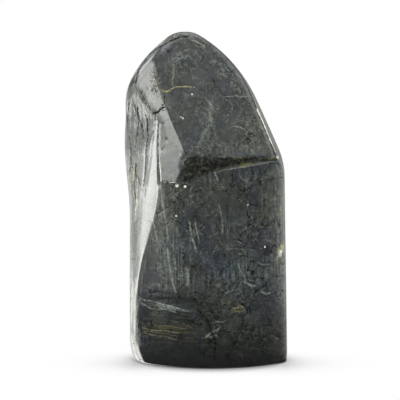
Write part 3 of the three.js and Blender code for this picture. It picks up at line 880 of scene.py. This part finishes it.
def veins(n):
    """winding pale veins, fewer at the foot and on the calm facets"""
    threaded = n.math("MAXIMUM", threads(n, (20, 50, 10), 0.19, 0.018, 0.525),
                      threads(n, (70, 10, 40), 0.40, 0.022, 0.55))
    n.cover(VEIN, threaded, n.span(n.grit, 0.35, 0.6, 0.15, 0.8), n.span(n.foot, 0, 1, 1, 0.35),
            n.span(n.calm, 0, 1, 1, 0.4))


def gaps(n, turn, size, width, low):
    """gaps between angular pieces, in broken patches"""
    turned = n.place(n.mm, (1, 1, 1), turn)
    away = n.cell_edges(n.bend(turned, 0.3, 4), size)
    patches = n.span(n.noise(turned, 0.13, 4, 0.65), low, low + 0.05)
    return n.times(n.span(away, width, width * 0.3), patches)


def fissures(n):
    """dark fissures, fewer on the calm facets"""
    split = n.math("MAXIMUM", gaps(n, (50, 80, 30), 14, 0.26, 0.49),
                   gaps(n, (10, 30, 60), 6.5, 0.20, 0.53))
    n.fissured = n.times(split, n.span(n.calm, 0, 1, 1, 0.3))
    n.cover(FISSURE, n.fissured, 0.92)


def speckles(n):
    """small crisp grains, pale ones and dark ones"""
    grains = n.noise(n.mm, 0.66, 3, 0.7, 0.8)
    n.cover(GRAIN_PALE, n.speckle, n.span(grains, 0.54, 0.6), 0.7)
    n.cover(STONE_DARK, n.speckle, n.span(grains, 0.455, 0.39), 0.85)


def flank_streaks(n):
    """long pale and dull dark streaks on the scooped flank"""
    n.dull = n.times(n.flank, n.span(n.flow, 0.53, 0.45))
    n.cover(FLANK_PALE, n.flank, n.span(n.flow, 0.53, 0.64), 0.6)
    n.cover(FLANK_DARK, n.dull, 0.9)


def foot_shade_and_dark_patches(n):
    """painted shade towards the foot and where it meets the floor, and the dark patches"""
    # painted shade: the colour darkens with height alone, most in the lowest 7 mm above the floor
    n.darken(n.span(n.height, 6, 44, 0.38, 1), n.span(n.height, 0.5, 7, 0.35, 1))
    # the dark patches; the long low one along the foot is painted shade too
    n.cover(STONE_DARK, n.dark, n.span(n.small, 0.3, 0.62, 0.45, 0.97))


def line(n, name, soft, least):
    """a channel of lines, uneven in width, and worn down to a least share here and there"""
    side, strength, _ = n.values(name)
    away = n.math("ABSOLUTE", n.plus(side, n.jitter))
    worn = n.math("MULTIPLY_ADD", n.broken, 1 - least, least)
    return n.times(n.span(away, 1 + soft, 0.35), strength, worn)


def marks(n):
    """the lines and spots that the mesh carries"""
    for name in ("pale_1", "pale_2"):
        n.cover(LINE_PALE, line(n, name, 1, 0.15), 1.2)
    n.cover(LINE_GOLD, line(n, "gold_1", 0.7, 0.1))
    # bright lines, two of them painted highlights along the right bevel and under the ledge
    n.cover(LINE_BRIGHT_AND_HIGHLIGHT, line(n, "bright_and_highlight_1", 0.5, 0.3))
    # dark cracks, and painted dark reflections along the kite's upper edge and the right bevel
    n.cracked = n.math("MAXIMUM", line(n, "crack_1", 0.5, 0.5), line(n, "crack_and_dark_reflection_2", 0.5, 0.5))
    n.cover(LINE_CRACK_AND_DARK_REFLECTION, n.cracked, 0.9)
    n.cover(SPOT_DARK, n.span(n.dark_spot, 1.5, 0.6), 0.9)
    n.cover(SPOT_PALE, n.span(n.pale_spot, 1.4, 0.7), 0.95)


def chipping(n):
    """small pits that the polish has not reached"""
    n.chipped = n.times(n.chips, n.span(n.noise(n.mm, 0.95, 3, 0.6), 0.50, 0.58))
    n.cover(n.mix(n.span(n.grit, 0.4, 0.6), CHIP_DARK, CHIP_BROWN), n.chipped)


def crust(n):
    """the unpolished ledge: crust with pale grains and stains, and painted shade of its recess"""
    # the crust's own dark, deepened into painted shade of the recess under the upper facet
    rough = n.mix(n.span(n.crumb, 0.5, 0.62), CRUST_DARK_AND_SHADE, CRUST_PALE)
    olive = n.times(n.span(n.noise(n.mm, 0.3), 0.54, 0.66), n.span(n.grit, 0.4, 0.65), 0.7)
    gold = n.times(n.gold, n.span(n.crumb, 0.44, 0.6), 0.85)
    n.cover(n.mix(gold, n.mix(olive, rough, CRUST_OLIVE), CRUST_GOLD), n.ledge)


def roughness(n):
    """a high polish, duller in cracks and painted dark reflections, streaks and chips, none on the
    ledge
    """
    gloss = n.plus(n.span(n.small, 0.3, 0.75, 0.06, 0.11), n.times(n.fissured, 0.15),
                   n.times(n.cracked, 0.7), n.times(n.dull, 0.45), n.times(n.chipped, 0.6),
                   n.times(n.haze, n.upright, 0.1))
    return n.plus(n.times(gloss, n.math("SUBTRACT", 1, n.ledge)), n.times(n.ledge, 0.6))


def shine(n):
    """less mirrored light in cracks, the painted dark reflections and fissures, at the flank's top
    and the strip's foot
    """
    flank_top = n.times(n.flank, n.span(n.height, 103, 112))
    strip_foot = n.times(n.calm, n.span(n.height, 17, 4))
    return n.times(n.even(n.cracked, 0.2, 0.9, 0.5, 0.06), n.even(n.fissured, 0.1, 0.9, 1, 0.3),
                   n.span(flank_top, 0, 1, 1, 0.5), n.span(strip_foot, 0, 1, 1, 0.66))


def lift(n):
    """waves and scratches of the polish, sunk marks, and the crust's grain, in millimetres"""
    scratch = n.streaks((2.2, 2.2, 0.22), 14, 2, 0.6)
    polish = n.plus(n.times(n.noise(n.mm, 0.35), 0.06), n.times(scratch, 0.008),
                    n.times(n.small, 0.004), n.times(n.flow, n.flank, 0.06),
                    n.times(n.cracked, -0.05), n.times(n.fissured, -0.01), n.times(n.chipped, -0.2))
    return n.plus(n.times(polish, n.span(n.calm, 0, 1, 1, 0.4)), n.times(n.ledge, n.crumb, 0.5))


def finish(n):
    """the layers joined in one shader"""
    bump = n.fill(n.add("Bump"), {"Strength": 1, "Distance": MM, "Height": lift(n)})
    shader = n.fill(n.add("BsdfPrincipled"), {
        "Base Color": n.colour, "Roughness": roughness(n), "IOR": STONE_IOR,
        "Specular IOR Level": shine(n), "Normal": bump})
    n.feed(n.add("OutputMaterial").inputs["Surface"], shader)


def polished_stone():
    material = bpy.data.materials.new("polished_labradorite")
    material.use_nodes = True
    n = StoneNodes(material.node_tree)
    for layer in (crystal, lamellae, flashes, grain, veins, fissures, speckles, flank_streaks, foot_shade_and_dark_patches,
                  marks, chipping, crust, finish):
        layer(n)
    return material


# the studio: a white floor and background, and bright panels that only the polish reflects,
# each by its middle azimuth (0 is the front, -90 the left), width, softness, lowest and highest
# elevation, softness there, and strength
PANELS = [
    (-71, 26, 8, -2.5, 35.5, 8, 7.3), (-56, 18, 14, -4.5, 35.5, 4, 4.2),
    (-60, 50, 16, -11.5, -6, 3, 1), (-91, 22, 4, 12.5, 35, 4, 6.1),
    (-121, 44, 10, 15.5, 33, 4, 4.4), (-94.5, 13.4, 3, -70, 0.5, 2, 11.3),
    (-103.2, 6.6, 2, -3.6, 0.5, 1.2, 9.6), (-107.5, 4, 3, -3.4, -1.8, 0.8, 7.5),
    (-104, 10, 4, -70, -3.6, 1.2, 4.9), (-104, 10, 4, -70, -6.2, 1.2, 7.6),
    (-90, 12, 5, -70, -10, 3, 5), (-111, 8, 3, -3.4, -1.6, 0.8, 5),
    (-110, 10, 3, -70, 0, 2, 2.5), (-104, 20, 5, -70, -10, 3, 7.8),
    (-136, 36, 6, -70, -9, 3, 3), (-118, 22, 6, -70, 8, 3, 1.65),
    (-122, 30, 6, -70, -7.5, 3, 6.6), (-140, 34, 6, -70, 1, 3, 2),
    (-165, 24, 6, -70, 14, 4, 0.9), (180, 50, 10, -70, 20, 6, 0.45),
    (100, 80, 18, -13, 3, 6, 1.9), (88, 70, 10, 31, 50, 5, 2.2),
    (148, 14, 4, 4, 9.5, 3, 3),
]
# the room round the panels, which grows brighter upwards, as the polish mirrors it, and the even
# light on all that isn't polished
ROOM_LOW, ROOM_HIGH, ROOM_TOP, ROOM_MATT = 0.2, 0.75, 2.5, 0.9
MIRROR_TINT, WHITE = (0.985, 1.0, 0.94, 1), (1, 1, 1, 1)


def mirrored_light(n):
    """how bright the room is in each direction, for rays that leave the polish"""
    x, y, z = n.split(n.add("TexCoord").outputs["Generated"])
    azimuth = n.times(n.math("ARCTAN2", x, n.times(y, -1.0)), 180 / math.pi)
    elevation = n.times(n.math("ARCSINE", z), 180 / math.pi)
    light = n.plus(n.even(elevation, 5, 42, ROOM_LOW, ROOM_HIGH),
                   n.even(elevation, 45, 62, 0.0, ROOM_TOP))
    for middle, width, soft, low, high, fade, strength in PANELS:
        away = n.math("WRAP", n.math("SUBTRACT", azimuth, middle), 180.0, -180.0)
        away = n.math("ABSOLUTE", away)
        across = n.even(away, width / 2 + soft / 2, width / 2 - soft / 2)
        over = n.even(elevation, low - fade / 2, low + fade / 2)
        under = n.even(elevation, high + fade / 2, high - fade / 2)
        light = n.math("MAXIMUM", light, n.times(across, over, under, strength))
    return light


def paint_world():
    world = bpy.data.worlds.new("studio")
    bpy.context.scene.world = world
    world.use_nodes = True
    n = Nodes(world.node_tree)

    def background(colour, strength):
        return n.fill(n.add("Background"), {"Color": colour, "Strength": strength})

    surface = n.for_rays("Is Glossy Ray", background(MIRROR_TINT, mirrored_light(n)),
                         background(WHITE, ROOM_MATT))
    surface = n.for_rays("Is Camera Ray", background(WHITE, 1.0), surface)
    n.feed(n.add("OutputWorld").inputs["Surface"], surface)


# the floor and its contact shadow, in metres: a narrow one where the stone stands, and a soft one
# that fades to both sides and in depth
FLOOR_HALF, FLOOR_WHITE = 3.0, (0.85, 0.85, 0.85, 1)
CONTACT_REACH = 0.018
SHADOW_X, SHADOW_HALF_WIDTH, SHADOW_SIDE_FADE = 0.0015, 0.0345, 0.0092
SHADOW_Y, SHADOW_DEPTH_FADE, SHADOW_STRENGTH = -0.0135, 0.0086, 0.40


def floor_shadow(n):
    """the share of light that the contact shadow takes from the floor"""
    near = n.add("AmbientOcclusion", samples=16)
    near.inputs["Distance"].default_value = CONTACT_REACH
    across, depth, _ = n.split(n.add("TexCoord").outputs["Object"])
    sides = n.plus(n.span(depth, 0.010, -0.022), n.span(depth, 0.016, 0.028, 0.0, 0.6))
    touching = n.times(n.even(near.outputs["AO"], 0.80, 0.46), sides)
    from_middle = n.math("ABSOLUTE", n.math("SUBTRACT", across, SHADOW_X))
    beyond = n.math("MAXIMUM", n.math("SUBTRACT", from_middle, SHADOW_HALF_WIDTH), 0.0)
    aside = n.math("EXPONENT", n.times(beyond, -1 / SHADOW_SIDE_FADE))
    off = n.times(n.math("SUBTRACT", depth, SHADOW_Y), 1 / SHADOW_DEPTH_FADE)
    soft = n.times(aside, n.math("EXPONENT", n.times(off, off, -0.5)), SHADOW_STRENGTH)
    return n.math("MAXIMUM", touching, soft)


def make_floor():
    """a white floor with a soft contact shadow, which the polish doesn't reflect"""
    mesh = bpy.data.meshes.new("floor")
    corners = [(FLOOR_HALF * x, FLOOR_HALF * y, 0) for x, y in ((-1, -1), (1, -1), (1, 1), (-1, 1))]
    mesh.from_pydata(corners, [], [(0, 1, 2, 3)])
    floor = add_object("floor", mesh)
    material = bpy.data.materials.new("white_floor")
    material.use_nodes = True
    n = Nodes(material.node_tree)
    glow = n.fill(n.add("Emission"), {"Strength": n.math("SUBTRACT", 1.0, floor_shadow(n))})
    matt = n.fill(n.add("BsdfDiffuse"), {"Color": FLOOR_WHITE})
    surface = n.for_rays("Is Camera Ray", glow, matt)
    surface = n.for_rays("Is Glossy Ray", n.add("BsdfTransparent").outputs[0], surface)
    n.feed(n.add("OutputMaterial").inputs["Surface"], surface)
    mesh.materials.append(material)
    return floor


# the camera, and the point that the lamps face, in metres
CAMERA_PLACE, CAMERA_TARGET = (-0.00298, -0.7618, 0.190), (-0.00298, 0.0002, 0.0728)
CAMERA_SENSOR, CAMERA_LENS = 36, 152.19
LAMP_TARGET = (0, 0, 0.07)


def aim(thing, target):
    way = Vector(target) - thing.location
    thing.rotation_euler = way.to_track_quat("-Z", "Y").to_euler()


def add_light(name, azimuth, elevation, distance, width, height, radiance):
    """a soft lamp by its direction from the stone, and its width and height in degrees"""
    a, e = math.radians(azimuth), math.radians(elevation)
    lamp = bpy.data.lights.new(name, "AREA")
    lamp.shape = "RECTANGLE"
    lamp.size = 2 * distance * math.tan(math.radians(width / 2))
    lamp.size_y = 2 * distance * math.tan(math.radians(height / 2))
    lamp.energy = radiance * math.pi * lamp.size * lamp.size_y
    light = add_object(name, lamp)
    light.location = (distance * math.sin(a) * math.cos(e), -distance * math.cos(a) * math.cos(e),
                      distance * math.sin(e) + LAMP_TARGET[2])
    light.visible_camera = False
    light.visible_glossy = False
    aim(light, LAMP_TARGET)


def add_camera():
    lens = bpy.data.cameras.new("camera")
    lens.sensor_width = CAMERA_SENSOR
    lens.lens = CAMERA_LENS
    camera = add_object("camera", lens)
    camera.location = CAMERA_PLACE
    aim(camera, CAMERA_TARGET)
    bpy.context.scene.camera = camera


add_camera()
skin = make_stone()
skin.data.materials.append(polished_stone())
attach(skin, "root")
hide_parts("labradorite")
paint_world()
make_floor()
add_light("key", -80, 35, 1.0, 40, 60, 3.0)
add_light("top", 0, 85, 1.2, 60, 60, 2.0)
bpy.context.scene.view_settings.view_transform = "Standard"
